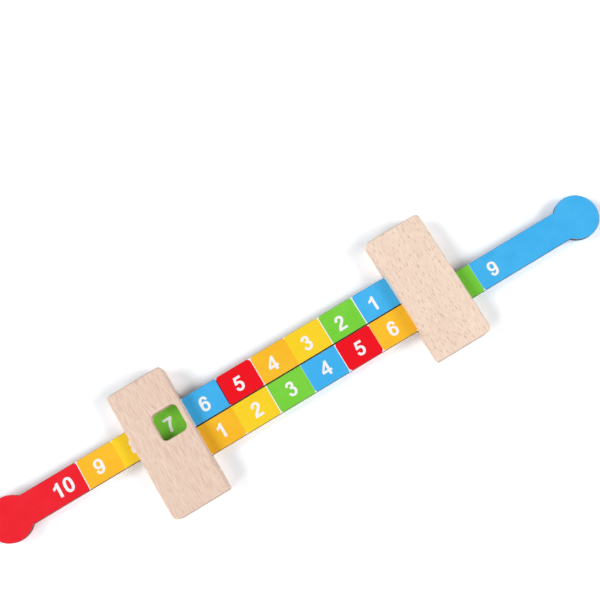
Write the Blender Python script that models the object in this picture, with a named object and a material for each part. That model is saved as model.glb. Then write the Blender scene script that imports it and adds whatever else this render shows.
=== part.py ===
"""A wooden number slider: two screwed blocks, each holding a printed strip that runs through the other.

Metres, +Z up, front face up. X runs along the strips, from the red disc to the blue disc.
Each block frame has its origin in the middle of the block's inner face, at the height of the table.
In that frame the block lies at -X, its own strip leaves towards +X in the row at -Y,
and the other block's strip passes through in the row at +Y.
"""
import math

import bmesh
import bpy

MM = 0.001

# Numbers: both strips carry one number a pitch, and the slider rests with SHOWN in the window
PITCH = 20.0 * MM
HIGHEST = 10
SHOWN = 7

# Fits: the play between neighbouring pieces, and how far the blocks could still open past HIGHEST
CLEARANCE = 0.3 * MM
STOP_PLAY = 1.5 * MM

# Strips of plywood, each ending in a round grip
STRIP_WIDTH = 15.9 * MM
STRIP_THICKNESS = 3.0 * MM
STRIP_SPACING = 0.5 * MM
STRIP_EASE = 0.25 * MM
GRIP_OVERHANG = 3.75 * MM
GRIP_SEGMENTS = 72

# Blocks of beech: a flat front board, and a back board with the channel for the strips milled into it
BLOCK_WIDTH = 30.8 * MM
CHEEK_LENGTH = 18.55 * MM
FRONT_BOARD = 6.0 * MM
CHANNEL_FLOOR = 3.0 * MM
POCKET_WALL = 6.5 * MM
CORNER_RADIUS = 2.6 * MM
EDGE_RADIUS = 1.0 * MM
CORNER_SEGMENTS = 6
EDGE_SEGMENTS = 4

# Number window, through both boards of one block
WINDOW_LENGTH = 14.2 * MM
WINDOW_WALL = 2.6 * MM
WINDOW_LAP = 0.55 * MM
WINDOW_RADIUS = 3.0 * MM
WINDOW_RIM = 0.4 * MM
RIM_SEGMENTS = 3

# Screws, driven from the back, one in each cheek of a block
SCREW_FROM_CHANNEL = 7.75 * MM
HEAD_DIAMETER = 5.2 * MM
HEAD_HEIGHT = 2.0 * MM
HEAD_DOME = 0.6 * MM
HEAD_RINGS = (0.35, 0.7, 0.9, 1.0)
HEAD_SINK = 1.2 * MM
THREAD_DIAMETER = 3.0 * MM
THREAD_DEPTH = 0.45 * MM
THREAD_PITCH = 1.2 * MM
THREAD_SHARE = 0.5
ROWS_PER_TURN = 4
PLAIN_SHANK = 0.6 * MM
TIP_LENGTH = 1.8 * MM
TIP_DIAMETER = 0.4 * MM
TIP_COVER = 2.0 * MM
SCREW_SEGMENTS = 16
HOLE_EASE = 0.25 * MM
CROSS_REACH = 1.4 * MM
CROSS_SLOT = 0.7 * MM
CROSS_DEPTH = 1.1 * MM
CROSS_TAPER = 0.45

# How far a cutter stands out of the face that it opens, and the bend that still shades smooth
OVERCUT = 1.0 * MM
SMOOTH_BEND = math.radians(30)

# Sizes that follow from the ones above
ROW_OFFSET = (STRIP_SPACING + STRIP_WIDTH) / 2
CHANNEL_HALF = ROW_OFFSET + STRIP_WIDTH / 2 + CLEARANCE
BLOCK_LENGTH = 2 * (CHANNEL_HALF + CHEEK_LENGTH)
STRIP_LOW = CHANNEL_FLOOR + CLEARANCE
BACK_BOARD = STRIP_LOW + STRIP_THICKNESS
BLOCK_THICKNESS = BACK_BOARD + CLEARANCE + FRONT_BOARD
POCKET_DEPTH = BLOCK_WIDTH - POCKET_WALL
GRIP_RADIUS = STRIP_WIDTH / 2 + GRIP_OVERHANG
GRIP_SHOULDER = math.sqrt(GRIP_RADIUS ** 2 - (STRIP_WIDTH / 2 + CLEARANCE) ** 2)
GRIP_STANDOFF = GRIP_SHOULDER + STOP_PLAY
STRIP_REACH = (HIGHEST - 1) * PITCH + CLEARANCE + BLOCK_WIDTH + GRIP_STANDOFF
BLOCK_GAP = (SHOWN - 1) * PITCH + CLEARANCE
SCREW_OFFSET = CHANNEL_HALF + SCREW_FROM_CHANNEL
SEAT_HEIGHT = HEAD_SINK + HEAD_HEIGHT
TIP_HEIGHT = BLOCK_THICKNESS - TIP_COVER


def clear_scene():
    for item in list(bpy.data.objects):
        bpy.data.objects.remove(item, do_unlink=True)


def make_material(name, colour, roughness, metallic=0.0):
    material = bpy.data.materials.new(name)
    material.use_nodes = True
    shader = material.node_tree.nodes["Principled BSDF"]
    shader.inputs["Base Color"].default_value = (*colour, 1.0)
    shader.inputs["Roughness"].default_value = roughness
    shader.inputs["Metallic"].default_value = metallic
    return material


def loft(name, loops, material=None):
    """Skins closed outlines of equal point count, from the lowest to the highest, and caps both ends."""
    skin = bmesh.new()
    rings = [[skin.verts.new(point) for point in loop] for loop in loops]
    for lower, upper in zip(rings, rings[1:]):
        for index, corner in enumerate(lower):
            following = (index + 1) % len(lower)
            skin.faces.new((corner, lower[following], upper[following], upper[index]))
    skin.faces.new(list(reversed(rings[0])))
    skin.faces.new(rings[-1])
    bmesh.ops.recalc_face_normals(skin, faces=skin.faces)
    mesh = bpy.data.meshes.new(name)
    skin.to_mesh(mesh)
    skin.free()
    mesh.shade_smooth()
    mesh.set_sharp_from_angle(angle=SMOOTH_BEND)
    if material:
        mesh.materials.append(material)
    piece = bpy.data.objects.new(name, mesh)
    bpy.context.scene.collection.objects.link(piece)
    return piece


def place(piece, parent, location=(0.0, 0.0, 0.0), turn=0.0):
    piece.parent = parent
    piece.location = location
    piece.rotation_euler = (0.0, 0.0, turn)
    return piece


def as_cutter(piece):
    piece.hide_render = True
    piece.display_type = "WIRE"
    return piece


def cut(piece, cutter):
    modifier = piece.modifiers.new(cutter.name, "BOOLEAN")
    modifier.operation = "DIFFERENCE"
    modifier.solver = "EXACT"
    modifier.object = cutter


def circle(radius, height, segments=SCREW_SEGMENTS):
    angles = [2 * math.pi * step / segments for step in range(segments)]
    return [(radius * math.cos(angle), radius * math.sin(angle), height) for angle in angles]


def rounded_rectangle(left, right, front, back, radius, height, segments=CORNER_SEGMENTS):
    """Outline in plan, counter-clockwise from the right side of the front edge."""
    points = []
    corners = ((right, front, -90), (right, back, 0), (left, back, 90), (left, front, 180))
    for x, y, start in corners:
        centre_x = x - math.copysign(radius, x - (left + right) / 2)
        centre_y = y - math.copysign(radius, y - (front + back) / 2)
        for step in range(segments + 1):
            angle = math.radians(start + 90 * step / segments)
            points.append((centre_x + radius * math.cos(angle), centre_y + radius * math.sin(angle), height))
    return points


def make_board(name, is_front, material):
    """One board of a block: square where the boards meet, rounded along its outer face."""
    inner, outer, outward = (BACK_BOARD + CLEARANCE, BLOCK_THICKNESS, 1) if is_front else (BACK_BOARD, 0.0, -1)
    levels = [(inner, 0.0)]
    for step in range(EDGE_SEGMENTS + 1):
        angle = math.pi / 2 * step / EDGE_SEGMENTS
        drop = EDGE_RADIUS * (1 - math.sin(angle))
        levels.append((outer - outward * drop, EDGE_RADIUS * (1 - math.cos(angle))))
    loops = []
    for height, inset in levels:
        left = inset - BLOCK_WIDTH
        back = BLOCK_LENGTH / 2 - inset
        radius = CORNER_RADIUS - inset
        loops.append(rounded_rectangle(left, -inset, -back, back, radius, height))
    return loft(name, loops, material)


def make_channel_cutter(name):
    """Open channel in the back board: a passage for the other block's strip, and a blind pocket for its own."""
    wall = CHANNEL_HALF
    rib = STRIP_SPACING / 2 - CLEARANCE
    outline = [
        (-BLOCK_WIDTH - OVERCUT, rib),
        (-POCKET_DEPTH, rib),
        (-POCKET_DEPTH, -wall),
        (OVERCUT, -wall),
        (OVERCUT, wall),
        (-BLOCK_WIDTH - OVERCUT, wall),
    ]
    loops = [[(x, y, height) for x, y in outline] for height in (CHANNEL_FLOOR, BACK_BOARD + OVERCUT)]
    return as_cutter(loft(name, loops))


def make_window_cutter(name):
    """Passes through both boards and flares into a rounded rim at both faces."""
    right = -WINDOW_WALL
    left = right - WINDOW_LENGTH
    half_width = STRIP_WIDTH / 2 - WINDOW_LAP
    levels = [(-OVERCUT, WINDOW_RIM)]
    for step in range(RIM_SEGMENTS + 1):
        angle = math.pi / 2 * step / RIM_SEGMENTS
        levels.append((WINDOW_RIM * (1 - math.cos(angle)), WINDOW_RIM * (1 - math.sin(angle))))
    levels += [(BLOCK_THICKNESS - height, flare) for height, flare in reversed(levels)]
    loops = []
    for height, flare in levels:
        front = ROW_OFFSET - half_width - flare
        back = ROW_OFFSET + half_width + flare
        radius = WINDOW_RADIUS + flare
        loops.append(rounded_rectangle(left - flare, right + flare, front, back, radius, height))
    return as_cutter(loft(name, loops))


def make_screw_hole_cutter(name):
    head = HEAD_DIAMETER / 2 + CLEARANCE
    shank = THREAD_DIAMETER / 2 + CLEARANCE
    seat = SEAT_HEIGHT + CLEARANCE
    end = TIP_HEIGHT + CLEARANCE
    profile = [(head + HOLE_EASE, -OVERCUT), (head + HOLE_EASE, 0.0), (head, HOLE_EASE), (head, seat)]
    profile += [(shank, seat), (shank, end)]
    return as_cutter(loft(name, [circle(radius, height) for radius, height in profile]))


def thread_ring(height, plain_until, tip_from):
    """One ring of the shank, whose radius swells where the thread's helix crosses it."""
    core = THREAD_DIAMETER / 2 - THREAD_DEPTH
    ring = []
    for step in range(SCREW_SEGMENTS):
        turn = step / SCREW_SEGMENTS
        phase = (height / THREAD_PITCH - turn) % 1.0
        ridge = max(0.0, 1.0 - 2.0 * abs(phase - 0.5) / THREAD_SHARE)
        radius = core if height <= plain_until else core + THREAD_DEPTH * ridge
        if height > tip_from:
            share = (height - tip_from) / (TIP_HEIGHT - tip_from)
            radius += share * (TIP_DIAMETER / 2 - radius)
        angle = 2 * math.pi * turn
        ring.append((radius * math.cos(angle), radius * math.sin(angle), height))
    return ring


def make_screw(name, material, cross):
    """Domed cross-head wood screw, head down, as it sits in the back of a block."""
    head = HEAD_DIAMETER / 2
    loops = []
    for share in HEAD_RINGS:
        drop = HEAD_DOME * (1 - math.sqrt(1 - share ** 2))
        loops.append(circle(head * share, HEAD_SINK + drop))
    loops.append(circle(head, SEAT_HEIGHT))
    plain_until = SEAT_HEIGHT + PLAIN_SHANK
    tip_from = TIP_HEIGHT - TIP_LENGTH
    loops.append(thread_ring(SEAT_HEIGHT, plain_until, tip_from))
    rows = max(1, round((TIP_HEIGHT - plain_until) / THREAD_PITCH * ROWS_PER_TURN))
    for row in range(rows + 1):
        height = plain_until + (TIP_HEIGHT - plain_until) * row / rows
        loops.append(thread_ring(height, plain_until, tip_from))
    screw = loft(name, loops, material)
    cut(screw, cross)
    return screw


def make_cross_cutter(name):
    """Tapered cross recess in the head of a screw."""
    levels = ((HEAD_SINK - OVERCUT, 1.0), (HEAD_SINK, 1.0), (HEAD_SINK + CROSS_DEPTH, CROSS_TAPER))
    loops = []
    for height, scale in levels:
        reach = CROSS_REACH * scale
        slot = CROSS_SLOT / 2 * scale
        outline = []
        for quarter in range(4):
            cosine, sine = ((1, 0), (0, 1), (-1, 0), (0, -1))[quarter]
            for along, across in ((slot, -reach), (slot, -slot), (reach, -slot)):
                outline.append((along * cosine - across * sine, along * sine + across * cosine, height))
        loops.append(outline)
    return as_cutter(loft(name, loops))


def strip_outline(inset, height):
    """Plan of a strip from its fixed end at X = 0 to the round grip, shrunk by the inset on every side."""
    half_width = STRIP_WIDTH / 2 - inset
    radius = GRIP_RADIUS - inset
    centre = POCKET_DEPTH - CLEARANCE + STRIP_REACH
    opening = math.asin(half_width / radius)
    points = [(inset, half_width, height), (inset, -half_width, height)]
    for step in range(GRIP_SEGMENTS + 1):
        angle = -math.pi + opening + (2 * math.pi - 2 * opening) * step / GRIP_SEGMENTS
        points.append((centre + radius * math.cos(angle), radius * math.sin(angle), height))
    return points


def make_strip(name, material):
    half = STRIP_THICKNESS / 2
    levels = ((-half, STRIP_EASE), (STRIP_EASE - half, 0.0), (half - STRIP_EASE, 0.0), (half, STRIP_EASE))
    return loft(name, [strip_outline(inset, height) for height, inset in levels], material)


def make_frame(name, location, turn=0.0):
    frame = bpy.data.objects.new(name, None)
    frame.empty_display_size = BLOCK_THICKNESS
    bpy.context.scene.collection.objects.link(frame)
    frame.location = location
    frame.rotation_euler = (0.0, 0.0, turn)
    return frame


def make_block(frame, name, strip_name, has_window, wood, print_colour, steel):
    """One block with its screws and its own strip, all placed in the block's frame."""
    front = place(make_board(f"{name}_front", True, wood), frame)
    back = place(make_board(f"{name}_back", False, wood), frame)
    cut(back, place(make_channel_cutter(f"{name}_channel_cutter"), frame))
    cutters = []
    if has_window:
        cutters.append(place(make_window_cutter(f"{name}_window_cutter"), frame))
    for index, side in enumerate((1, -1), start=1):
        spot = (-BLOCK_WIDTH / 2, side * SCREW_OFFSET, 0.0)
        cutters.append(place(make_screw_hole_cutter(f"{name}_screw_hole_cutter_{index}"), frame, spot))
        cross = place(make_cross_cutter(f"{name}_cross_cutter_{index}"), frame, spot)
        place(make_screw(f"{name}_screw_{index}", steel, cross), frame, spot)
    for board in (front, back):
        for cutter in cutters:
            cut(board, cutter)
    fixed_end = (CLEARANCE - POCKET_DEPTH, -ROW_OFFSET, STRIP_LOW + STRIP_THICKNESS / 2)
    place(make_strip(strip_name, print_colour), frame, fixed_end)


def main():
    clear_scene()
    wood = make_material("beech", (0.80, 0.60, 0.43), 0.55)
    red = make_material("red_print", (0.85, 0.02, 0.03), 0.40)
    blue = make_material("blue_print", (0.05, 0.36, 0.85), 0.40)
    steel = make_material("screw_steel", (0.32, 0.31, 0.30), 0.35, 1.0)
    # At rest the slider reaches from the red grip to the blue grip, and its origin lies halfway between them
    blue_tip = STRIP_REACH + GRIP_RADIUS
    red_tip = BLOCK_GAP - STRIP_REACH - GRIP_RADIUS
    window_face = -(blue_tip + red_tip) / 2
    window_frame = make_frame("window_block_frame", (window_face, 0.0, 0.0))
    plain_frame = make_frame("plain_block_frame", (window_face + BLOCK_GAP, 0.0, 0.0), math.pi)
    make_block(window_frame, "window_block", "blue_strip", True, wood, blue, steel)
    make_block(plain_frame, "plain_block", "red_strip", False, wood, red, steel)


main()
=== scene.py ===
"""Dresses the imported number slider: beech blocks, printed plywood strips and the screws in the backs.

Lengths in this file are millimetres in the part's frame, and become metres where a mesh is made.
X runs from the red grip to the blue grip, +Y towards the red strip's row, +Z up out of the front faces.
The plain block with the red strip is the window block with the blue strip, turned half round about Z.
"""
import math

import bmesh
import bpy
from mathutils import Matrix, Vector
from mathutils.geometry import delaunay_2d_cdt


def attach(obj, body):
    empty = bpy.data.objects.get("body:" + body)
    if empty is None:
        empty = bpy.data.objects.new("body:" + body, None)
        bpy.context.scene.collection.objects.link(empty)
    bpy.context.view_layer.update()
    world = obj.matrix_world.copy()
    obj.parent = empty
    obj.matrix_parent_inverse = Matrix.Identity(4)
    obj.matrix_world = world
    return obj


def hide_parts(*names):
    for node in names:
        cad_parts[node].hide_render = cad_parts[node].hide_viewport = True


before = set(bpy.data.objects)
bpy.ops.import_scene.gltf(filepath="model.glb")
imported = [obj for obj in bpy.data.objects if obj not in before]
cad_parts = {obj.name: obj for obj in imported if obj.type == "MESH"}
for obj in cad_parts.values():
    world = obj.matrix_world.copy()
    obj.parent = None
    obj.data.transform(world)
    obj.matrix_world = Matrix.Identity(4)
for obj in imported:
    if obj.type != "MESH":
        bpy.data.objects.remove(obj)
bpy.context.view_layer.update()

MM = 0.001

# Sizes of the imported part
PITCH = 20.0
CLEARANCE = 0.3
BLOCK_WIDTH = 30.8
BLOCK_LENGTH = 70.0
BLOCK_THICKNESS = 12.6
FRONT_BOARD = 6.0
CHANNEL_FLOOR = 3.0
BLOCK_INNER_FACE = -60.15
# Hand-sanded corners, from the inner front one against the clock, before a block is turned
WINDOW_BLOCK_CORNERS = (1.4, 1.9, 2.3, 3.2)
PLAIN_BLOCK_CORNERS = (1.4, 1.3, 3.2, 2.2)
EDGE_RADIUS = 0.8
STRIP_WIDTH = 15.9
STRIP_SPACING = 0.5
STRIP_THICKNESS = 3.0
STRIP_FIXED_END = -84.15
GRIP_CENTRE = 160.745
GRIP_RADIUS = 11.7
POCKET_DEPTH = 24.3
CHANNEL_HALF_WIDTH = 16.45
WINDOW_X = (-76.95, -62.75)
WINDOW_Y = (0.8, 15.6)
WINDOW_RADIUS = 3.0
SCREW_X = -75.55
SCREW_Y = 24.2

ROW_Y = (STRIP_SPACING + STRIP_WIDTH) / 2
STRIP_LOW = CHANNEL_FLOOR + CLEARANCE
STRIP_HIGH = STRIP_LOW + STRIP_THICKNESS
STRIP_MIDDLE = (STRIP_LOW + STRIP_HIGH) / 2
JOINT_HEIGHT = BLOCK_THICKNESS - FRONT_BOARD - CLEARANCE / 2

# Details that only the dressed part has
JOINT_GAP = 0.05
JOINT_EASE = 0.12
WINDOW_RIM = 0.4
VENEER_EASE = 0.08
GLUE_LINE = 0.04
GLUE_GROOVE = 0.035
PRINT_THICKNESS = 0.03
PRINT_INSET = 0.13
SMOOTH_BEND = math.radians(32)
SCREW_SMOOTH_BEND = math.radians(28)
CUT_MARGIN = 1.0
# A face whose normal rises or falls by less than this is a wall
WALL_SLOPE = 0.6
# Steps in a quarter turn of a corner, of a board's edge, of the window's rim and of a tile
CORNER_STEPS = 12
EDGE_STEPS = 8
RIM_STEPS = 6
TILE_STEPS = 8
# Steps in a full circle and round a grip
CIRCLE_STEPS = 48
GRIP_STEPS = 144

# Radius and height of a screw's hole: its rounded mouth, the head's recess and the way for the thread
SCREW_HOLE = (
    (3.15, -CUT_MARGIN), (3.15, 0.0), (3.02, 0.08), (2.93, 0.18), (2.9, 0.32), (2.9, 3.5),
    (1.8, 3.5), (1.8, 10.9),
)
# The screw, head down: heights of its parts with its dome's own, its radii and its thread
SCREW_APEX = 1.2
SCREW_DOME = 0.6
SCREW_RIM = 2.6
SCREW_SEAT = 3.2
THREAD_START = 3.8
SCREW_TIP = 10.6
HEAD_RADIUS = 2.6
HEAD_SEAT_RADIUS = 2.4
CORE_RADIUS = 1.05
THREAD_DEPTH = 0.45
THREAD_PITCH = 1.2
THREAD_ROWS = 8
# Length of the point, and the share of the radius that is left at its tip
SCREW_POINT = 1.8
POINT_SHARE = 0.12
# Shares of the head's radius at which its dome has a ring
DOME_RINGS = (0.08, 0.3, 0.5, 0.68, 0.82, 0.92, 0.975, 1.0)
# Height over the apex, reach and half width of the cross recess
CROSS_RECESS = ((-1.0, 1.45, 0.36), (0.05, 1.45, 0.36), (0.5, 1.15, 0.3), (1.1, 0.55, 0.22))


def half_turn(points):
    return [(-x, -y, z) for x, y, z in points]


# Meshes


def link(name, mesh):
    piece = bpy.data.objects.new(name, mesh)
    bpy.context.scene.collection.objects.link(piece)
    return piece


def loft(name, loops):
    """Closed skin over outlines of equal point count, with both ends capped."""
    skin = bmesh.new()
    rings = [[skin.verts.new([value * MM for value in point]) for point in loop] for loop in loops]
    for lower, upper in zip(rings, rings[1:]):
        for index, corner in enumerate(lower):
            following = (index + 1) % len(lower)
            skin.faces.new((corner, lower[following], upper[following], upper[index]))
    skin.faces.new(list(reversed(rings[0])))
    skin.faces.new(rings[-1])
    bmesh.ops.recalc_face_normals(skin, faces=skin.faces)
    mesh = bpy.data.meshes.new(name)
    skin.to_mesh(mesh)
    skin.free()
    return link(name, mesh)


def cut_away(piece, cutters):
    """Takes the cutters out of the piece and keeps the result as its mesh."""
    for cutter in cutters:
        modifier = piece.modifiers.new(cutter.name, "BOOLEAN")
        modifier.operation = "DIFFERENCE"
        modifier.solver = "EXACT"
        modifier.object = cutter
    bpy.context.view_layer.update()
    shape = piece.evaluated_get(bpy.context.evaluated_depsgraph_get())
    mesh = bpy.data.meshes.new_from_object(shape)
    piece.modifiers.clear()
    old = piece.data
    piece.data = mesh
    bpy.data.meshes.remove(old)
    mesh.name = piece.name


def shade_round(piece, angle=SMOOTH_BEND):
    """Smooth over gentle bends, crisp at edges, with flat faces left flat."""
    mesh = piece.data
    mesh.shade_smooth()
    mesh.set_sharp_from_angle(angle=angle)
    modifier = piece.modifiers.new("even_normals", "WEIGHTED_NORMAL")
    modifier.keep_sharp = True
    modifier.weight = 80


def rounded_rectangle(x_range, y_range, radii, z):
    """Loop at height z; the radii run from the corner at high x and low y, against the clock."""
    left, right = x_range
    front, back = y_range
    points = []
    corners = ((right, front, -90), (right, back, 0), (left, back, 90), (left, front, 180))
    for (x, y, start), radius in zip(corners, radii):
        centre_x = x - math.copysign(radius, x - (left + right) / 2)
        centre_y = y - math.copysign(radius, y - (front + back) / 2)
        for step in range(CORNER_STEPS + 1):
            angle = math.radians(start + 90 * step / CORNER_STEPS)
            points.append((centre_x + radius * math.cos(angle), centre_y + radius * math.sin(angle), z))
    return points


def circle(x, y, radius, z):
    turns = [2 * math.pi * step / CIRCLE_STEPS for step in range(CIRCLE_STEPS)]
    return [(x + radius * math.cos(turn), y + radius * math.sin(turn), z) for turn in turns]


# Blocks


def board_outline(inset, z, corners):
    x_range = (BLOCK_INNER_FACE - BLOCK_WIDTH + inset, BLOCK_INNER_FACE - inset)
    y_range = (inset - BLOCK_LENGTH / 2, BLOCK_LENGTH / 2 - inset)
    return rounded_rectangle(x_range, y_range, [radius - inset for radius in corners], z)


def board_levels(is_front):
    """Height and inset from the joint between the boards to the outer face."""
    outward = 1 if is_front else -1
    joint = JOINT_HEIGHT + outward * JOINT_GAP / 2
    outer = BLOCK_THICKNESS if is_front else 0.0
    levels = [(joint, JOINT_EASE), (joint + outward * JOINT_EASE, 0.0)]
    for step in range(EDGE_STEPS + 1):
        angle = math.pi / 2 * step / EDGE_STEPS
        drop = EDGE_RADIUS * (1 - math.sin(angle))
        levels.append((outer - outward * drop, EDGE_RADIUS * (1 - math.cos(angle))))
    return levels


def channel_cutter():
    """The back board's channel: the other strip's way through, beside the blind pocket of the block's own."""
    inner = BLOCK_INNER_FACE
    outer = inner - BLOCK_WIDTH
    rib = STRIP_SPACING / 2 - CLEARANCE
    wall = CHANNEL_HALF_WIDTH
    outline = [
        (outer - CUT_MARGIN, rib), (inner - POCKET_DEPTH, rib), (inner - POCKET_DEPTH, -wall),
        (inner + CUT_MARGIN, -wall), (inner + CUT_MARGIN, wall), (outer - CUT_MARGIN, wall),
    ]
    heights = (CHANNEL_FLOOR, JOINT_HEIGHT + 0.1)
    return loft("channel_cutter", [[(x, y, z) for x, y in outline] for z in heights])


def window_cutter():
    levels = [(-CUT_MARGIN, WINDOW_RIM)]
    for step in range(RIM_STEPS + 1):
        angle = math.pi / 2 * step / RIM_STEPS
        levels.append((WINDOW_RIM * (1 - math.cos(angle)), WINDOW_RIM * (1 - math.sin(angle))))
    levels += [(BLOCK_THICKNESS - z, flare) for z, flare in reversed(levels)]
    loops = []
    for z, flare in levels:
        x_range = (WINDOW_X[0] - flare, WINDOW_X[1] + flare)
        y_range = (WINDOW_Y[0] - flare, WINDOW_Y[1] + flare)
        loops.append(rounded_rectangle(x_range, y_range, [WINDOW_RADIUS + flare] * 4, z))
    return loft("window_cutter", loops)


def screw_hole_cutter(y):
    return loft("screw_hole_cutter", [circle(SCREW_X, y, radius, z) for radius, z in SCREW_HOLE])


def mark_cut_walls(mesh):
    """Gives the upright walls of the window and the screw recesses the second material, the darker one that
    carries painted shade.
    """
    # Further in than the board's own rounded corners reach
    inset = 1.2 * MM
    low = [bound + inset for bound in (min(v.co[axis] for v in mesh.vertices) for axis in (0, 1))]
    high = [bound - inset for bound in (max(v.co[axis] for v in mesh.vertices) for axis in (0, 1))]
    for face in mesh.polygons:
        inside = all(a < p < b for a, p, b in zip(low, face.center, high))
        face.material_index = int(inside and abs(face.normal.z) < WALL_SLOPE)


def make_board(node, body, is_front, turned, wood, cut_wood_painted_shade):
    corners = PLAIN_BLOCK_CORNERS if turned else WINDOW_BLOCK_CORNERS
    loops = [board_outline(inset, z, corners) for z, inset in board_levels(is_front)]
    piece = loft(node + "_wood", loops)
    cutters = [screw_hole_cutter(SCREW_Y), screw_hole_cutter(-SCREW_Y)]
    if not is_front:
        cutters.append(channel_cutter())
    if not turned:
        cutters.append(window_cutter())
    cut_away(piece, cutters)
    for cutter in cutters:
        bpy.data.objects.remove(cutter)
    if turned:
        piece.data.transform(Matrix.Rotation(math.pi, 4, "Z"))
    mark_cut_walls(piece.data)
    shade_round(piece)
    piece.data.materials.clear()
    piece.data.materials.append(wood)
    piece.data.materials.append(cut_wood_painted_shade)
    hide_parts(node)
    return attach(piece, body)


# Strips


def strip_outline(inset, z):
    """Plan of the blue strip, from its fixed end to the round grip."""
    half_width = STRIP_WIDTH / 2 - inset
    radius = GRIP_RADIUS - inset
    opening = math.asin(half_width / radius)
    left = STRIP_FIXED_END + inset
    points = [(left, half_width - ROW_Y, z), (left, -half_width - ROW_Y, z)]
    for step in range(GRIP_STEPS + 1):
        angle = -math.pi + opening + (2 * math.pi - 2 * opening) * step / GRIP_STEPS
        points.append((GRIP_CENTRE + radius * math.cos(angle), radius * math.sin(angle) - ROW_Y, z))
    return points


def make_core(node, body, turned, ply):
    """Three veneers with a hair of a groove at each glue line."""
    low, high = STRIP_LOW + PRINT_THICKNESS, STRIP_HIGH - PRINT_THICKNESS
    veneer = (high - low) / 3
    levels = [(low, PRINT_INSET), (low + VENEER_EASE, 0.0)]
    for line in (low + veneer, high - veneer):
        levels += [(line - GLUE_LINE, 0.0), (line, GLUE_GROOVE), (line + GLUE_LINE, 0.0)]
    levels += [(high - VENEER_EASE, 0.0), (high, PRINT_INSET)]
    loops = [strip_outline(inset, z) for z, inset in levels]
    if turned:
        loops = [half_turn(loop) for loop in loops]
    piece = loft(node + "_plywood", loops)
    shade_round(piece)
    piece.data.materials.append(ply)
    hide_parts(node)
    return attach(piece, body)


# Numerals, as outlines on a height of 1


# Width from one digit to the next
ADVANCE = 0.776
# A stroke's right side isn't cut unless it is given a limit
NO_LIMIT = 9.0


def between(p, q, r, s, share):
    """Value part of the way from q to r on a smooth curve, with p before them and s after."""
    first = r - p
    second = 2 * p - 5 * q + 4 * r - s
    third = 3 * q - p - 3 * r + s
    return 0.5 * (2 * q + first * share + second * share ** 2 + third * share ** 3)


def spline(points):
    """Smooth line through the points, each of any number of values."""
    steps = 8
    padded = [points[0]] + list(points) + [points[-1]]
    line = []
    for near in zip(padded, padded[1:], padded[2:], padded[3:]):
        for step in range(steps):
            line.append(tuple(between(*values, step / steps) for values in zip(*near)))
    line.append(tuple(points[-1]))
    return line


def stroke(points, bold, limit=NO_LIMIT):
    """Outline of a pen line through points of (x, y, half width), kept left of the limit."""
    line = spline(points)
    left, right = [], []
    for index, (x, y, half) in enumerate(line):
        x0, y0 = line[max(index - 1, 0)][:2]
        x1, y1 = line[min(index + 1, len(line) - 1)][:2]
        length = math.hypot(x1 - x0, y1 - y0)
        across = (half + bold) / length
        step_x, step_y = (y1 - y0) * across, (x1 - x0) * across
        left.append((min(x - step_x, limit), y + step_y))
        right.append((min(x + step_x, limit), y - step_y))
    return left + right[::-1]


def oval(x, y, reach_x, reach_y, power):
    """Round outline that is squarer than an ellipse for a power above 2."""
    points = []
    for step in range(CIRCLE_STEPS):
        turn = 2 * math.pi * step / CIRCLE_STEPS
        cosine, sine = math.cos(turn), math.sin(turn)
        along = reach_x * math.copysign(abs(cosine) ** (2 / power), cosine)
        up = reach_y * math.copysign(abs(sine) ** (2 / power), sine)
        points.append((x + along, y + up))
    return points


def ring(x, y, reach_x, reach_y, side, top, bold, power):
    """Closed bowl of a digit and its hole; side and top are the line's widths there."""
    outer = oval(x, y, reach_x + bold, reach_y + bold, power)
    return outer, oval(x, y, reach_x - side - bold, reach_y - top - bold, power)


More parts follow.
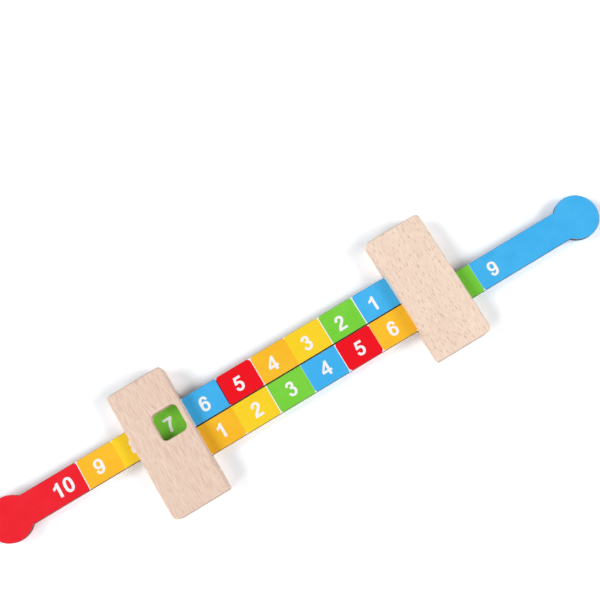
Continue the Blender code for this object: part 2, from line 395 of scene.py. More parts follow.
def numeral(digit, bold):
    """Parts of a numeral, each an outline and the hole in it or None."""
    b = bold
    if digit == 0:
        return [ring(0.388, 0.5, 0.328, 0.51, 0.193, 0.155, b, 2.35)]
    if digit == 1:
        stem = [(0.362 - b, -b), (0.552 + b, -b), (0.552 + b, 1.0 + b), (0.398 - b, 1.0 + b)]
        upper = spline([
            (0.398 - b, 1.0 + b), (0.352 - b, 0.915 + b), (0.262, 0.835 + b), (0.122 - b, 0.768 + b),
        ])
        lower = spline([(0.122 - b, 0.592 - b), (0.252, 0.64 - b), (0.362 - b, 0.716 - b)])
        return [(stem + upper[1:] + lower, None)]
    if digit == 2:
        arc = [
            (0.148, 0.652, 0.088), (0.168, 0.79, 0.089), (0.255, 0.895, 0.086), (0.375, 0.925, 0.083),
            (0.497, 0.89, 0.088), (0.575, 0.79, 0.096), (0.568, 0.665, 0.098), (0.488, 0.53, 0.096),
            (0.355, 0.4, 0.094), (0.235, 0.275, 0.094), (0.165, 0.15, 0.094), (0.134, 0.0, 0.094),
        ]
        base = [(0.04 - b, -b), (0.69 + b, -b), (0.69 + b, 0.172 + b), (0.1, 0.172 + b)]
        return [(stroke(arc, b), None), (base, None)]
    if digit == 3:
        upper = [
            (0.155, 0.716, 0.086), (0.182, 0.825, 0.086), (0.262, 0.9, 0.083), (0.37, 0.925, 0.081),
            (0.485, 0.893, 0.088), (0.543, 0.8, 0.093), (0.54, 0.7, 0.093), (0.475, 0.607, 0.084),
            (0.385, 0.58, 0.076), (0.3, 0.577, 0.074),
        ]
        lower = [
            (0.3, 0.56, 0.074), (0.4, 0.552, 0.076), (0.512, 0.508, 0.088), (0.582, 0.405, 0.096),
            (0.59, 0.285, 0.097), (0.54, 0.16, 0.092), (0.45, 0.09, 0.083), (0.35, 0.073, 0.081),
            (0.24, 0.105, 0.085), (0.165, 0.185, 0.087), (0.138, 0.29, 0.087),
        ]
        return [(stroke(upper, b), None), (stroke(lower, b), None)]
    if digit == 4:
        outline = [
            (0.452 - b, -b), (0.638 + b, -b), (0.638 + b, 0.203 - b), (0.748 + b, 0.203 - b),
            (0.748 + b, 0.368 + b), (0.638 + b, 0.368 + b), (0.638 + b, 1.0 + b), (0.478 - b, 1.0 + b),
            (0.032 - b, 0.362 + b / 2), (0.032 - b, 0.203 - b), (0.452 - b, 0.203 - b),
        ]
        hole = [(0.452 - b, 0.368 + b), (0.452 - b, 0.71 - 2 * b), (0.213 + 1.5 * b, 0.368 + b)]
        return [(outline, hole)]
    if digit == 5:
        top = [
            (0.182 - b, 0.985 + b), (0.662 + b, 0.985 + b), (0.662 + b, 0.812 - b), (0.322, 0.812 - b),
            (0.29, 0.63), (0.262, 0.475 - b), (0.222, 0.452 - b), (0.086 - b, 0.482 - b),
        ]
        bowl = [
            (0.2, 0.51, 0.058), (0.275, 0.56, 0.076), (0.375, 0.582, 0.083), (0.495, 0.54, 0.088),
            (0.575, 0.44, 0.096), (0.588, 0.32, 0.098), (0.548, 0.19, 0.094), (0.462, 0.1, 0.085),
            (0.355, 0.073, 0.081), (0.245, 0.1, 0.085), (0.168, 0.175, 0.088), (0.137, 0.285, 0.088),
        ]
        return [(top, None), (stroke(bowl, b), None)]
    if digit == 6:
        sweep = [
            (0.622, 0.705, 0.088), (0.598, 0.815, 0.087), (0.525, 0.9, 0.084), (0.42, 0.926, 0.082),
            (0.305, 0.89, 0.088), (0.215, 0.785, 0.096), (0.172, 0.62, 0.098), (0.163, 0.47, 0.095),
            (0.166, 0.33, 0.084),
        ]
        return [ring(0.392, 0.322, 0.322, 0.335, 0.19, 0.15, b, 2.15), (stroke(sweep, b), None)]
    if digit == 7:
        bar = [(0.052 - b, 0.815 - b), (0.698 + b, 0.815 - b), (0.698 + b, 0.985 + b), (0.052 - b, 0.985 + b)]
        leg = [
            (0.672, 0.925, 0.098), (0.6, 0.855, 0.098), (0.508, 0.735, 0.096), (0.42, 0.57, 0.095),
            (0.352, 0.375, 0.096), (0.312, 0.18, 0.097), (0.299, -0.002, 0.098),
        ]
        return [(bar, None), (stroke(leg, b, 0.698 + b), None)]
    if digit == 8:
        lower = ring(0.388, 0.282, 0.328, 0.296, 0.192, 0.148, b, 2.1)
        return [ring(0.388, 0.738, 0.29, 0.272, 0.178, 0.142, b, 2.1), lower]
    turned = numeral(6, bold)
    return [
        tuple(outline and [(ADVANCE - x, 1 - y) for x, y in outline] for outline in part) for part in turned
    ]


# Prints


# Each ink's two screen colours, in the order of the materials' places on a print
INKS = {
    "white": ((252, 251, 252), (247, 247, 249)),
    "red": ((243, 6, 26), (240, 10, 30)),
    # The red of the last tile and the grip is paler than the tiles' red: a painted sheen
    "red_painted_sheen": ((243, 32, 48), (241, 26, 42)),
    "orange": ((255, 195, 45), (254, 190, 40)),
    "yellow": ((255, 216, 42), (254, 214, 38)),
    "green": ((126, 214, 66), (119, 211, 60)),
    "blue": ((71, 185, 245), (64, 180, 243)),
    "overprint": ((92, 10, 60), (84, 8, 54)),
}
INK_PLACES = {ink: place for place, ink in enumerate(INKS)}


def tile_outline(left, right, low, high, radius):
    """A colour tile in plan, with the radii of its left and right end; zero leaves that end square."""
    points = []
    corners = ((right, low, -90), (right, high, 0), (left, high, 90), (left, low, 180))
    for index, (x, y, start) in enumerate(corners):
        size = radius[0] if index in (2, 3) else radius[1]
        if not size:
            points.append((x, y))
            continue
        centre_x = x - math.copysign(size, x - (left + right) / 2)
        centre_y = y - math.copysign(size, y - (low + high) / 2)
        for step in range(TILE_STEPS + 1):
            angle = math.radians(start + 90 * step / TILE_STEPS)
            points.append((centre_x + size * math.cos(angle), centre_y + size * math.sin(angle)))
    return points


def windings(point, outline):
    """How often the outline goes round the point."""
    x, y = point
    count = 0
    for (x0, y0), (x1, y1) in zip(outline, outline[1:] + outline[:1]):
        side = (x1 - x0) * (y - y0) - (x - x0) * (y1 - y0)
        if y0 <= y < y1 and side > 0:
            count += 1
        elif y1 <= y < y0 and side < 0:
            count -= 1
    return count


class Shape:
    """A filled outline with its box, for quick tests."""

    def __init__(self, outline):
        self.outline = outline
        self.low = (min(x for x, _ in outline), min(y for _, y in outline))
        self.high = (max(x for x, _ in outline), max(y for _, y in outline))

    def holds(self, point):
        inside_box = all(a <= p <= b for a, p, b in zip(self.low, point, self.high))
        return inside_box and windings(point, self.outline) != 0


def make_print(name, body, outline, tiles, marks, z_range, inks):
    """One printed face as a closed film, whose outer side is cut into areas of ink.

    The outline and every tile and mark lie in plan, and z_range is the film's inner and outer height.
    """
    film = Shape(outline)
    tile_shapes = [(Shape(points), ink) for points, ink in tiles]
    mark_shapes = [(Shape(points), hole and Shape(hole)) for points, hole in marks]
    outlines = [film.outline] + [shape.outline for shape, _ in tile_shapes]
    for shape, hole in mark_shapes:
        outlines.append(shape.outline)
        if hole:
            outlines.append(hole.outline)
    points, edges = [], []
    for line in outlines:
        first = len(points)
        points += [Vector(point) for point in line]
        edges += [(first + index, first + (index + 1) % len(line)) for index in range(len(line))]
    found, _, triangles, _, _, _ = delaunay_2d_cdt(points, edges, [], 0, 1e-4, False)
    inner, outer = z_range
    skin = bmesh.new()
    upper = [skin.verts.new((x * MM, y * MM, outer * MM)) for x, y in found]
    lower = [skin.verts.new((x * MM, y * MM, inner * MM)) for x, y in found]
    for corners in triangles:
        centre = tuple(sum(found[corner][axis] for corner in corners) / len(corners) for axis in (0, 1))
        if not film.holds(centre):
            continue
        ink = "white"
        marked = [hole for shape, hole in mark_shapes if shape.holds(centre)]
        if all(hole and hole.holds(centre) for hole in marked):
            held = [colour for shape, colour in tile_shapes if shape.holds(centre)]
            if held:
                ink = held[0]
            if set(held) == {"red", "blue"}:
                ink = "overprint"
        face = skin.faces.new([upper[corner] for corner in corners])
        face.material_index = INK_PLACES[ink]
        skin.faces.new([lower[corner] for corner in reversed(corners)])
    below = dict(zip(upper, lower))
    for edge in [edge for edge in skin.edges if len(edge.link_faces) == 1]:
        first, second = edge.verts
        if first in below:
            skin.faces.new([first, second, below[second], below[first]])
    bmesh.ops.delete(skin, geom=[vertex for vertex in skin.verts if not vertex.link_faces], context="VERTS")
    bmesh.ops.recalc_face_normals(skin, faces=skin.faces)
    mesh = bpy.data.meshes.new(name)
    skin.to_mesh(mesh)
    skin.free()
    for ink in INKS:
        mesh.materials.append(inks[ink])
    piece = link(name, mesh)
    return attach(piece, body)


def place_numeral(number, x, y, bold, spacing, mirrored):
    """Outlines of a number centred at x and y; mirrored for a face that is seen from below."""
    digits = [int(letter) for letter in str(number)]
    advance = ADVANCE * NUMERAL_HEIGHT + spacing
    start = -advance * len(digits) / 2 + spacing / 2
    marks = []
    for place, digit in enumerate(digits):
        for part in numeral(digit, bold):
            made = []
            for outline in part:
                if outline is None:
                    made.append(None)
                    continue
                line = []
                for px, py in outline:
                    along = start + place * advance + px * NUMERAL_HEIGHT
                    line.append((x - along if mirrored else x + along, y + (py - 0.5) * NUMERAL_HEIGHT))
                made.append(line)
            marks.append(tuple(made))
    return marks


# Radius of a tile's corners, and of a red tile's
TILE_RADIUS = 1.4
RED_TILE_RADIUS = 2.1
NUMERAL_HEIGHT = 7.5
# Spacing added between the digits of a number on the back, and of 11 there, and what makes 10 bolder
BACK_SPACING = 0.75
ELEVEN_SPACING = -0.25
TEN_BOLD = 0.009
# The last tile's colour covers the whole grip: it runs to here, this far to either side
GRIP_END = 200.0
GRIP_REACH = 20.0
# Where each row of tiles begins, from the middle of the part
FIRST_TILE = 60.0
# A tile runs over the seam between the strips on the front, and over the outer edge on the back
FRONT_OVER_SEAM = 0.5
BACK_OFF_SEAM = 0.2
BACK_OVER_EDGE = 0.5
# Colours from the fixed end to the grip, and the bare line after each tile: below zero the inks overlap
RED_ROW = ("blue", "green", "yellow", "orange", "red", "blue", "green", "yellow", "orange", "red_painted_sheen")
BLUE_ROW = ("orange", "yellow", "green", "blue", "red", "orange", "yellow", "green", "blue")
LINES = {
    "red_front": (0.5, 0.45, 0.0, 0.35, -0.5, 0.35, 0.45, 0.0, 0.4),
    "red_back": (0.15, 0.5, 0.0, 0.45, -0.3, 0.2, 0.6, 0.0, 0.45),
    "blue_front": (0.0, 0.45, 0.1, 0.35, 0.08, 0.0, 0.45, 0.1),
    "blue_back": (0.0, 0.45, 0.12, 0.12, 0.12, 0.0, 0.45, 0.1),
}
# The numbers lie a little off the middle of their tiles along the strip, from the lowest on
RED_SHIFTS = (-1.8, -1.2, -1.1, -1.4, -0.8, -0.8, -0.6, -0.8, -0.8, -1.0)
BLUE_SHIFTS = (0.1, 0.4, 0.4, 0.3, 0.4, -0.4, -0.3, -0.3, -0.3)
BLUE_BACK_SHIFTS = (0.0, -0.6, 0.2, 0.5, 0.0, -0.4, -0.7, -0.2, -0.4)
RED_BACK_SHIFT = 0.5
# The front's also drift across the strip: by this much, and by this much more with each number
BLUE_DRIFT = (0.25, -0.08)
RED_DRIFT = (-0.75, 0.065)


def lay_tiles(colours, lines, first_left, step, low, high, end_edge):
    """Tiles in a row from first_left on; the last one runs on to end_edge with a square end."""
    tiles = []
    way = math.copysign(1.0, step)
    for index, colour in enumerate(colours):
        left, right = first_left + index * step, first_left + (index + 1) * step
        before = lines[index - 1] / 2 if index else 0.0
        after = lines[index] / 2 if index < len(lines) else 0.0
        radius = [RED_TILE_RADIUS if colour == "red" else TILE_RADIUS] * 2
        if index + 1 == len(colours):
            right = end_edge
            radius[1] = 0.0
            middle = (low + high) / 2
            ends = sorted((first_left + (index + 0.5) * step, end_edge))
            grip = tile_outline(*ends, middle - GRIP_REACH, middle + GRIP_REACH, (0.0, 0.0))
            tiles.append((grip, colour))
        left, right = left + way * before, right - way * after
        if left > right:
            left, right = right, left
            radius.reverse()
        tiles.append((tile_outline(left, right, low, high, radius), colour))
    return tiles


def blue_numbers(is_back):
    """The blue strip's 1 to 9."""
    marks = []
    for number in range(1, 10):
        x = PITCH * (number - 0.5) - FIRST_TILE
        if is_back:
            x += BLUE_BACK_SHIFTS[number - 1]
            marks += place_numeral(number, x, -ROW_Y, 0.0, 0.0, True)
        else:
            x += BLUE_SHIFTS[number - 1]
            drift = BLUE_DRIFT[0] + BLUE_DRIFT[1] * number
            marks += place_numeral(number, x, drift - ROW_Y, 0.0, 0.0, False)
    return marks


def red_numbers(is_back):
    """The red strip's 1 to 10, or 11 to 20 on its back."""
    marks = []
    for number in range(1, 11):
        x = FIRST_TILE - PITCH * (number - 0.5)
        if is_back:
            x += RED_BACK_SHIFT
            spacing = ELEVEN_SPACING if number == 1 else BACK_SPACING
            marks += place_numeral(number + 10, x, ROW_Y, 0.0, spacing, True)
        else:
            x += RED_SHIFTS[number - 1]
            drift = RED_DRIFT[0] + RED_DRIFT[1] * number
            bold = TEN_BOLD if number == 10 else 0.0
            marks += place_numeral(number, x, ROW_Y + drift, bold, 0.0, False)
    return marks


def make_prints(inks):
    """The four printed faces: front and back of the blue strip and of the red strip."""
    outline = [(x, y) for x, y, _ in strip_outline(PRINT_INSET, 0.0)]
    turned = [(-x, -y) for x, y in outline]
    seam = STRIP_SPACING / 2
    rim = seam + STRIP_WIDTH
    faces = (
        ("front", seam - FRONT_OVER_SEAM, rim, (STRIP_HIGH - PRINT_THICKNESS, STRIP_HIGH)),
        ("back", seam + BACK_OFF_SEAM, rim + BACK_OVER_EDGE, (STRIP_LOW + PRINT_THICKNESS, STRIP_LOW)),
    )
    for side, low, high, z_range in faces:
        is_back = side == "back"
        tiles = lay_tiles(BLUE_ROW, LINES["blue_" + side], -FIRST_TILE, PITCH, -high, -low, GRIP_END)
        marks = blue_numbers(is_back)
        name = "blue_strip_print_" + side
        make_print(name, "window_block", outline, tiles, marks, z_range, inks)
        tiles = lay_tiles(RED_ROW, LINES["red_" + side], FIRST_TILE, -PITCH, low, high, -GRIP_END)
        marks = red_numbers(is_back)
        name = "red_strip_print_" + side
        make_print(name, "plain_block", turned, tiles, marks, z_range, inks)


# Screws


def cross_cutter(x, y, turn):
    """The head's cross recess, which narrows as it deepens."""
    fillet = 0.08
    loops = []
    for rise, reach, slot in CROSS_RECESS:
        loop = []
        for quarter in range(4):
            cosine = math.cos(turn + quarter * math.pi / 2)
            sine = math.sin(turn + quarter * math.pi / 2)
            for along, across in ((slot, -reach), (slot + fillet, -slot - fillet), (reach, -slot)):
                corner_x = x + along * cosine - across * sine
                corner_y = y + along * sine + across * cosine
                loop.append((corner_x, corner_y, SCREW_APEX + rise))
        loops.append(loop)
    return loft("cross_cutter", loops)


def make_screw(node, body, x, y, steel, turn):
    """Domed cross-head wood screw, head down."""
    loops = []
    for share in DOME_RINGS:
        height = SCREW_APEX + SCREW_DOME * (1 - math.sqrt(1 - share ** 2))
        loops.append(circle(x, y, HEAD_RADIUS * share, height))
    loops.append(circle(x, y, HEAD_RADIUS, SCREW_RIM))
    loops.append(circle(x, y, HEAD_SEAT_RADIUS, SCREW_SEAT))
    loops.append(circle(x, y, CORE_RADIUS, SCREW_SEAT))
    length = SCREW_TIP - THREAD_START
    rows = int(length / THREAD_PITCH * THREAD_ROWS)
    for row in range(rows + 1):
        z = THREAD_START + length * row / rows
        taper = 1.0 if z < SCREW_TIP - SCREW_POINT else max(POINT_SHARE, (SCREW_TIP - z) / SCREW_POINT)
        loop = []
        for step in range(CIRCLE_STEPS):
            phase = (z / THREAD_PITCH - step / CIRCLE_STEPS) % 1.0
            ridge = max(0.0, 1 - 4 * abs(phase - 0.5))
            radius = (CORE_RADIUS + THREAD_DEPTH * ridge) * taper
            angle = 2 * math.pi * step / CIRCLE_STEPS
            loop.append((x + radius * math.cos(angle), y + radius * math.sin(angle), z))
        loops.append(loop)
    piece = loft(node + "_steel", loops)
    cross = cross_cutter(x, y, turn)
    cut_away(piece, [cross])
    bpy.data.objects.remove(cross)
    shade_round(piece, SCREW_SMOOTH_BEND)
    piece.data.materials.clear()
    piece.data.materials.append(steel)
    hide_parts(node)
    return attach(piece, body)


# Materials


def srgb(red, green, blue):
    """Linear colour of an 8-bit screen colour."""
    values = []
    for value in (red, green, blue):
        share = value / 255
        values.append(share / 12.92 if share <= 0.04045 else ((share + 0.055) / 1.055) ** 2.4)
    return (*values, 1.0)


# Places of the Mix node's two colours among its inputs, and of the mixed colour among its outputs
MIX_FIRST = 6
MIX_SECOND = 7
MIX_RESULT = 2


class Nodes:
    """Shorthand for building one material's tree."""

    def __init__(self, name):
        self.material = bpy.data.materials.new(name)
        self.material.use_nodes = True
        self.tree = self.material.node_tree
        self.shader = self.tree.nodes["Principled BSDF"]

    def add(self, kind, **settings):
        node = self.tree.nodes.new("ShaderNode" + kind)
        for key, value in settings.items():
            setattr(node, key, value)
        return node

    def put(self, value, socket):
        """Links a socket's value, or writes a plain one."""
        if isinstance(value, bpy.types.NodeSocket):
            self.tree.links.new(value, socket)
        else:
            socket.default_value = value

    def place(self, scale, turn=(0.0, 0.0, 0.0), shift=(0.0, 0.0, 0.0)):
        """Position on the piece, in millimetres times the scale."""
        where = self.add("TexCoord").outputs["Object"]
        node = self.add("Mapping")
        self.put(where, node.inputs["Vector"])
        node.inputs["Location"].default_value = shift
        node.inputs["Rotation"].default_value = turn
        node.inputs["Scale"].default_value = [value / MM for value in scale]
        return node.outputs["Vector"]

    def noise(self, where, detail, rough, warp=0.0):
        node = self.add("TexNoise")
        self.put(where, node.inputs["Vector"])
        node.inputs["Scale"].default_value = 1.0
        node.inputs["Detail"].default_value = detail
        node.inputs["Roughness"].default_value = rough
        node.inputs["Distortion"].default_value = warp
        return node.outputs["Fac"]

    def ramp(self, value, low, high, to_low=0.0, to_high=1.0, smooth=True):
        node = self.add("MapRange", interpolation_type="SMOOTHSTEP" if smooth else "LINEAR")
        self.put(value, node.inputs["Value"])
        for key, number in (("From Min", low), ("From Max", high), ("To Min", to_low), ("To Max", to_high)):
            node.inputs[key].default_value = number
        return node.outputs["Result"]

    def math(self, operation, first, second=0.0):
        node = self.add("Math", operation=operation)
        self.put(first, node.inputs[0])
        self.put(second, node.inputs[1])
        return node.outputs["Value"]

    def mix(self, share, first, second):
        node = self.add("Mix", data_type="RGBA", blend_type="MIX")
        self.put(share, node.inputs[0])
        self.put(first, node.inputs[MIX_FIRST])
        self.put(second, node.inputs[MIX_SECOND])
        return node.outputs[MIX_RESULT]

    def vector_math(self, operation, first, second=None):
        node = self.add("VectorMath", operation=operation)
        self.put(first, node.inputs[0])
        if second is not None:
            self.put(second, node.inputs[1])
        return node

    def spindles(self, cell, half, turn, shift, share):
        """Oval marks, one to a cell, with sizes in millimetres; share is how many of the cells have one."""
        core = 0.35
        soft = 0.08
        where = self.place([1 / size for size in cell], turn, shift)
        cells = self.add("TexVoronoi", feature="F1")
        self.put(where, cells.inputs["Vector"])
        cells.inputs["Scale"].default_value = 1.0
        off = self.vector_math("SUBTRACT", where, cells.outputs["Position"]).outputs["Vector"]
        stretch = [size / reach for size, reach in zip(cell, half)]
        off = self.vector_math("MULTIPLY", off, stretch).outputs["Vector"]
        mark = self.ramp(self.vector_math("LENGTH", off).outputs["Value"], 1.0, core)
        pick = self.add("SeparateColor")
        self.put(cells.outputs["Color"], pick.inputs[0])
        chosen = self.ramp(pick.outputs[0], 1.0 - share - soft, 1.0 - share + soft)
        strength = self.ramp(pick.outputs[1], 0.0, 1.0, 0.45, 1.0, False)
        return self.math("MULTIPLY", mark, self.math("MULTIPLY", chosen, strength))

    def bump(self, height, strength, distance):
        node = self.add("Bump")
        node.inputs["Strength"].default_value = strength
        node.inputs["Distance"].default_value = distance * MM
        self.put(height, node.inputs["Height"])
        self.put(node.outputs["Normal"], self.shader.inputs["Normal"])


def shade_of(tint, red, green, blue):
    """The tint made darker by so many screen levels."""
    return srgb(*[max(0, min(255, value - drop)) for value, drop in zip(tint, (red, green, blue))])


def make_beech(name, tint, shift, lean, line_length, flecks_share, small_share, lines_share, fine_share):
    """Steamed beech: growth bands, fine lines along Y, short ray flecks, pores and speckled end grain.

    The shift and the lean pick the cut of wood, and the shares say how strongly each mark shows.
    """
    n = Nodes(name)
    turn = (0.0, lean, 0.0)
    bands = n.noise(n.place((0.16, 0.006, 0.16), turn, shift), 2.0, 0.5, 0.6)
    blush = n.noise(n.place((0.07, 0.03, 0.07), turn, shift), 2.0, 0.5)
    fibres = n.noise(n.place((1.5, line_length, 1.5), turn, shift), 1.0, 0.6, 0.05)
    fine = n.noise(n.place((3.0, 0.2, 3.0), turn, shift), 2.0, 0.6)
    lines = n.ramp(fibres, 0.5, 0.72)
    lines = n.math("MULTIPLY", lines, n.ramp(fine, 0.35, 0.6, 0.35, 1.0))
    flecks = n.spindles((1.7, 3.9, 1.2), (0.27, 1.6, 0.8), turn, shift, 0.9)
    small = n.spindles((1.0, 3.0, 0.9), (0.2, 1.2, 0.45), turn, [value + 7.7 for value in shift], 0.75)

    colour = n.mix(n.ramp(bands, 0.35, 0.65), shade_of(tint, -6, -5, -4), shade_of(tint, 1, 3, 4))
    colour = n.mix(n.ramp(blush, 0.4, 0.7, 0.0, 0.6), colour, shade_of(tint, 2, 8, 8))
    colour = n.mix(n.ramp(fine, 0.36, 0.64, 0.0, fine_share), colour, shade_of(tint, 13, 18, 20))
    colour = n.mix(n.math("MULTIPLY", lines, lines_share), colour, shade_of(tint, 28, 40, 45))
    colour = n.mix(n.math("MULTIPLY", small, small_share), colour, shade_of(tint, 42, 58, 64))
    colour = n.mix(n.math("MULTIPLY", flecks, flecks_share), colour, shade_of(tint, 62, 84, 92))
    # End grain: speckled, with the growth rings as faint lines across
    facing = n.add("SeparateXYZ")
    n.put(n.add("TexCoord").outputs["Normal"], facing.inputs[0])
    ends = n.ramp(n.math("ABSOLUTE", facing.outputs["Y"]), 0.35, 0.85)
    speckle = n.noise(n.place((3.4, 3.4, 3.4), turn, shift), 3.0, 0.7)
    rings = n.noise(n.place((0.12, 1.0, 1.3), turn, shift), 2.0, 0.5)
    end_colour = n.mix(n.ramp(speckle, 0.35, 0.7), shade_of(tint, 30, 28, 26), shade_of(tint, 60, 60, 58))
    end_colour = n.mix(n.ramp(rings, 0.5, 0.65, 0.0, 0.45), end_colour, shade_of(tint, 60, 62, 62))
    colour = n.mix(ends, colour, end_colour)
    n.put(colour, n.shader.inputs["Base Color"])
    n.put(n.ramp(fine, 0.3, 0.7, 0.58, 0.72), n.shader.inputs["Roughness"])
    n.shader.inputs["Specular IOR Level"].default_value = 0.22
    relief = n.math("SUBTRACT", n.math("MULTIPLY", fine, 0.6), n.math("ADD", lines, flecks))
    n.bump(relief, 0.2, 0.05)
    return n.material


# The four boards' cuts of wood: plain sawn on the window block's front, flecked on the plain block's
BEECH_CUTS = {
    "window_block_front": {
        "tint": (244, 219, 202), "shift": (3.0, 11.0, 5.0), "lean": 0.5, "line_length": 0.13,
        "flecks_share": 0.12, "small_share": 0.4, "lines_share": 0.7, "fine_share": 0.85,
    },
    "window_block_back": {
        "tint": (244, 219, 202), "shift": (37.0, 2.0, 19.0), "lean": 0.25, "line_length": 0.1,
        "flecks_share": 0.25, "small_share": 0.5, "lines_share": 0.4, "fine_share": 0.6,
    },
    "plain_block_front": {
        "tint": (250, 228, 209), "shift": (71.0, 23.0, 41.0), "lean": 0.0, "line_length": 0.08,
        "flecks_share": 0.82, "small_share": 0.45, "lines_share": 0.3, "fine_share": 0.6,
    },
    "plain_block_back": {
        "tint": (244, 219, 200), "shift": (13.0, 47.0, 67.0), "lean": 0.15, "line_length": 0.05,
        "flecks_share": 0.12, "small_share": 0.2, "lines_share": 0.75, "fine_share": 0.4,
    },
}


def make_cut_beech():
    """Routed walls of the window and drilled walls of the recesses: a dark brown that is painted shade for
    these hollows, with cutter marks.
    """
    n = Nodes("beech_cut_painted_shade")
    marks = n.noise(n.place((0.5, 0.5, 5.0)), 2.0, 0.6)
    speckle = n.noise(n.place((3.0, 3.0, 3.0)), 3.0, 0.7)
    # These browns are painted shade for the walls of the window and the recesses
    colour = n.mix(n.ramp(speckle, 0.35, 0.7), srgb(160, 126, 94), srgb(118, 88, 62))
    colour = n.mix(n.ramp(marks, 0.5, 0.7, 0.0, 0.5), colour, srgb(96, 70, 48))
    n.put(colour, n.shader.inputs["Base Color"])
    n.put(n.ramp(speckle, 0.3, 0.7, 0.62, 0.78), n.shader.inputs["Roughness"])
    n.shader.inputs["Specular IOR Level"].default_value = 0.2
    n.bump(n.math("ADD", marks, speckle), 0.3, 0.05)
    return n.material


def make_ink(name, colour, second):
    """Screen ink over veneer: nearly even colour, with the grain just felt under it."""
    n = Nodes(name)
    grain = n.noise(n.place((0.12, 2.4, 2.4)), 3.0, 0.6)
    cloud = n.noise(n.place((0.09, 0.09, 0.09)), 2.0, 0.5)
    mixed = n.mix(n.ramp(cloud, 0.35, 0.65), srgb(*colour), srgb(*second))
    mixed = n.mix(n.ramp(grain, 0.45, 0.75, 0.0, 0.35), mixed, shade_of(colour, 22, 22, 22))
    n.put(mixed, n.shader.inputs["Base Color"])
    n.put(n.ramp(grain, 0.3, 0.7, 0.37, 0.48), n.shader.inputs["Roughness"])
    n.shader.inputs["Specular IOR Level"].default_value = 0.2
    n.bump(grain, 0.12, 0.03)
    return n.material


def make_plywood():
    """Laser-cut edge of three-ply: browned, darker at the glue lines, cross veneer speckled."""
    n = Nodes("plywood_edge")
    height = n.add("SeparateXYZ")
    n.put(n.place((1.0, 1.0, 1.0)), height.inputs[0])
    level = n.math("ABSOLUTE", n.math("SUBTRACT", height.outputs["Z"], STRIP_MIDDLE))
    along = n.noise(n.place((0.9, 0.9, 6.0)), 3.0, 0.6)
    speckle = n.noise(n.place((5.0, 5.0, 5.0)), 2.0, 0.6)
    outer = n.mix(n.ramp(along, 0.35, 0.65), srgb(124, 90, 70), srgb(84, 58, 44))
    middle = n.mix(n.ramp(speckle, 0.35, 0.65), srgb(62, 43, 34), srgb(38, 27, 22))
    # Up from the strip's middle: the cross veneer, an outer veneer, and the scorched rim under the ink
    colour = n.mix(n.ramp(level, 0.45, 0.55), middle, outer)
    colour = n.mix(n.ramp(level, 1.33, 1.4), colour, srgb(52, 36, 28))
    n.put(colour, n.shader.inputs["Base Color"])
    n.put(n.ramp(speckle, 0.3, 0.7, 0.6, 0.8), n.shader.inputs["Roughness"])
    n.bump(n.math("ADD", speckle, along), 0.3, 0.05)
    return n.material


def make_steel():
    n = Nodes("dark_screw_steel")
    fine = n.noise(n.place((9.0, 9.0, 9.0)), 3.0, 0.6)
    colour = n.mix(n.ramp(fine, 0.35, 0.7), srgb(134, 129, 124), srgb(92, 88, 84))
    n.put(colour, n.shader.inputs["Base Color"])
    n.shader.inputs["Metallic"].default_value = 1.0
    n.put(n.ramp(fine, 0.3, 0.7, 0.2, 0.34), n.shader.inputs["Roughness"])
    n.bump(fine, 0.15, 0.02)
    return n.material


# Stage


def background_rays(tree):
    """One for rays of the camera, gloss and glass, and zero for the light that falls on the part."""
    path = tree.nodes.new("ShaderNodeLightPath")
    seen = path.outputs["Is Camera Ray"]
    for ray in ("Is Glossy Ray", "Is Transmission Ray"):
        either = tree.nodes.new("ShaderNodeMath")
        either.operation = "MAXIMUM"
        tree.links.new(seen, either.inputs[0])
        tree.links.new(path.outputs[ray], either.inputs[1])
        seen = either.outputs[0]
    return seen


def make_floor():
    """Pale floor that shows white and keeps the part's shadow."""
    mesh = bpy.data.meshes.new("floor")
    corners = [(x * FLOOR_REACH, y * FLOOR_REACH, 0.0) for x, y in ((-1, -1), (1, -1), (1, 1), (-1, 1))]
    mesh.from_pydata(corners, [], [(0, 1, 2, 3)])
    floor = link("floor", mesh)
    material = bpy.data.materials.new("floor_white")
    material.use_nodes = True
    tree = material.node_tree
    tree.nodes.clear()
    out = tree.nodes.new("ShaderNodeOutputMaterial")
    paint = tree.nodes.new("ShaderNodeBsdfDiffuse")
    tone = tree.nodes.new("ShaderNodeMix")
    tone.data_type = "RGBA"
    tone.clamp_result = False
    tone.inputs[MIX_FIRST].default_value = (*[FLOOR_REAL * value for value in FLOOR_TINT], 1.0)
    tone.inputs[MIX_SECOND].default_value = (*[FLOOR_SHOWN * value for value in FLOOR_TINT], 1.0)
    tree.links.new(background_rays(tree), tone.inputs[0])
    tree.links.new(tone.outputs[MIX_RESULT], paint.inputs["Color"])
    tree.links.new(paint.outputs[0], out.inputs["Surface"])
    mesh.materials.append(material)


def make_world():
    """A faint even fill; the camera, gloss and glass see it white."""
    world = bpy.data.worlds.new("studio")
    bpy.context.scene.world = world
    world.use_nodes = True
    tree = world.node_tree
    tree.nodes.clear()
    out = tree.nodes.new("ShaderNodeOutputWorld")
    sky = tree.nodes.new("ShaderNodeBackground")
    sky.inputs["Color"].default_value = (1.0, 1.0, 1.0, 1.0)
    pick = tree.nodes.new("ShaderNodeMix")
    tree.links.new(background_rays(tree), pick.inputs[0])
    pick.inputs[2].default_value = FILL
    pick.inputs[3].default_value = 1.0
    tree.links.new(pick.outputs[0], sky.inputs["Strength"])
    tree.links.new(sky.outputs[0], out.inputs["Surface"])


# Level 1 is where a colour renders as written: the fill and the lamps' shares add up to about that
FILL = 0.14
# The floor's reach in metres, and its levels for the light on the part and for rays that see the background
FLOOR_REACH = 3.0
FLOOR_REAL = 0.9
FLOOR_SHOWN = 1.31
FLOOR_TINT = (0.965, 1.0, 1.035)
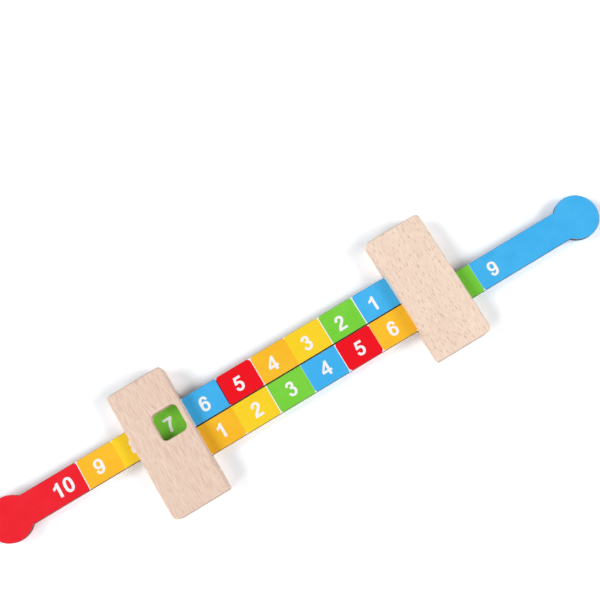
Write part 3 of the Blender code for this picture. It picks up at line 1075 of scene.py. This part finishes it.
# Name, direction, elevation and spread in degrees, and share of level 1
LAMPS = (
    ("right", 0.0, 40.0, 26.0, 0.27),
    ("left", 180.0, 40.0, 26.0, 0.235),
    ("front_left", 225.0, 40.0, 26.0, 0.13),
    ("front_right", 315.0, 40.0, 26.0, 0.085),
    ("low_back_left", 135.0, 15.0, 22.0, 0.03),
    ("low_front_right", 315.0, 15.0, 22.0, 0.045),
    ("low_front_left", 225.0, 15.0, 22.0, 0.03),
)

# The photo's camera, fitted to the part: its place in millimetres, and its right, up and backward axes
CAMERA_PLACE = Vector((-19.45, -55.52, 483.74)) * MM
CAMERA_AXES = ((0.85699, -0.51474, -0.02457), (0.50977, 0.83982, 0.18666), (-0.07545, -0.17249, 0.98212))
CAMERA_LENS = 57.356
# On the floor, the ways to the picture's right and to its top
PICTURE_RIGHT = Vector((0.857, -0.514, 0.0))
PICTURE_AHEAD = Vector((0.514, 0.857, 0.0))


def make_camera():
    camera = bpy.data.cameras.new("camera")
    camera.lens = CAMERA_LENS
    camera.sensor_width = 36.0
    camera.clip_start = 0.01
    holder = bpy.data.objects.new("camera", camera)
    bpy.context.scene.collection.objects.link(holder)
    turn = Matrix(CAMERA_AXES).transposed().to_4x4()
    holder.matrix_world = Matrix.Translation(CAMERA_PLACE) @ turn
    bpy.context.scene.camera = holder


def make_lamp(name, direction, elevation, spread, share):
    """Large far softbox; the direction is from the picture's right, against the clock."""
    turn, rise = math.radians(direction), math.radians(elevation)
    level = PICTURE_RIGHT * math.cos(turn) + PICTURE_AHEAD * math.sin(turn)
    towards = level * math.cos(rise) + Vector((0.0, 0.0, math.sin(rise)))
    lamp = bpy.data.lights.new(name, "SUN")
    lamp.angle = math.radians(spread)
    lamp.energy = math.pi * share / math.sin(rise)
    holder = bpy.data.objects.new(name, lamp)
    bpy.context.scene.collection.objects.link(holder)
    holder.location = towards
    holder.rotation_mode = "QUATERNION"
    holder.rotation_quaternion = towards.to_track_quat("Z", "Y")


# The part and its stage

woods = {}
for board, settings in BEECH_CUTS.items():
    woods[board] = make_beech("beech_" + board.replace("_block", ""), **settings)
inks = {name: make_ink("ink_" + name, *colours) for name, colours in INKS.items()}
cut_wood_painted_shade = make_cut_beech()
steel = make_steel()
plywood = make_plywood()

for board, wood in woods.items():
    owner = board.rsplit("_", 1)[0]
    make_board(board, owner, board.endswith("front"), owner == "plain_block", wood, cut_wood_painted_shade)
make_core("blue_strip", "window_block", False, plywood)
make_core("red_strip", "plain_block", True, plywood)
make_prints(inks)
for index, side in enumerate((1, -1), start=1):
    y = side * SCREW_Y
    make_screw(f"window_block_screw_{index}", "window_block", SCREW_X, y, steel, 0.3 + 0.5 * index)
    make_screw(f"plain_block_screw_{index}", "plain_block", -SCREW_X, -y, steel, 0.9 + 0.4 * index)

make_floor()
make_world()
for name, direction, elevation, spread, share in LAMPS:
    make_lamp(name, direction, elevation, spread, share)
make_camera()
bpy.context.scene.view_settings.view_transform = "Standard"
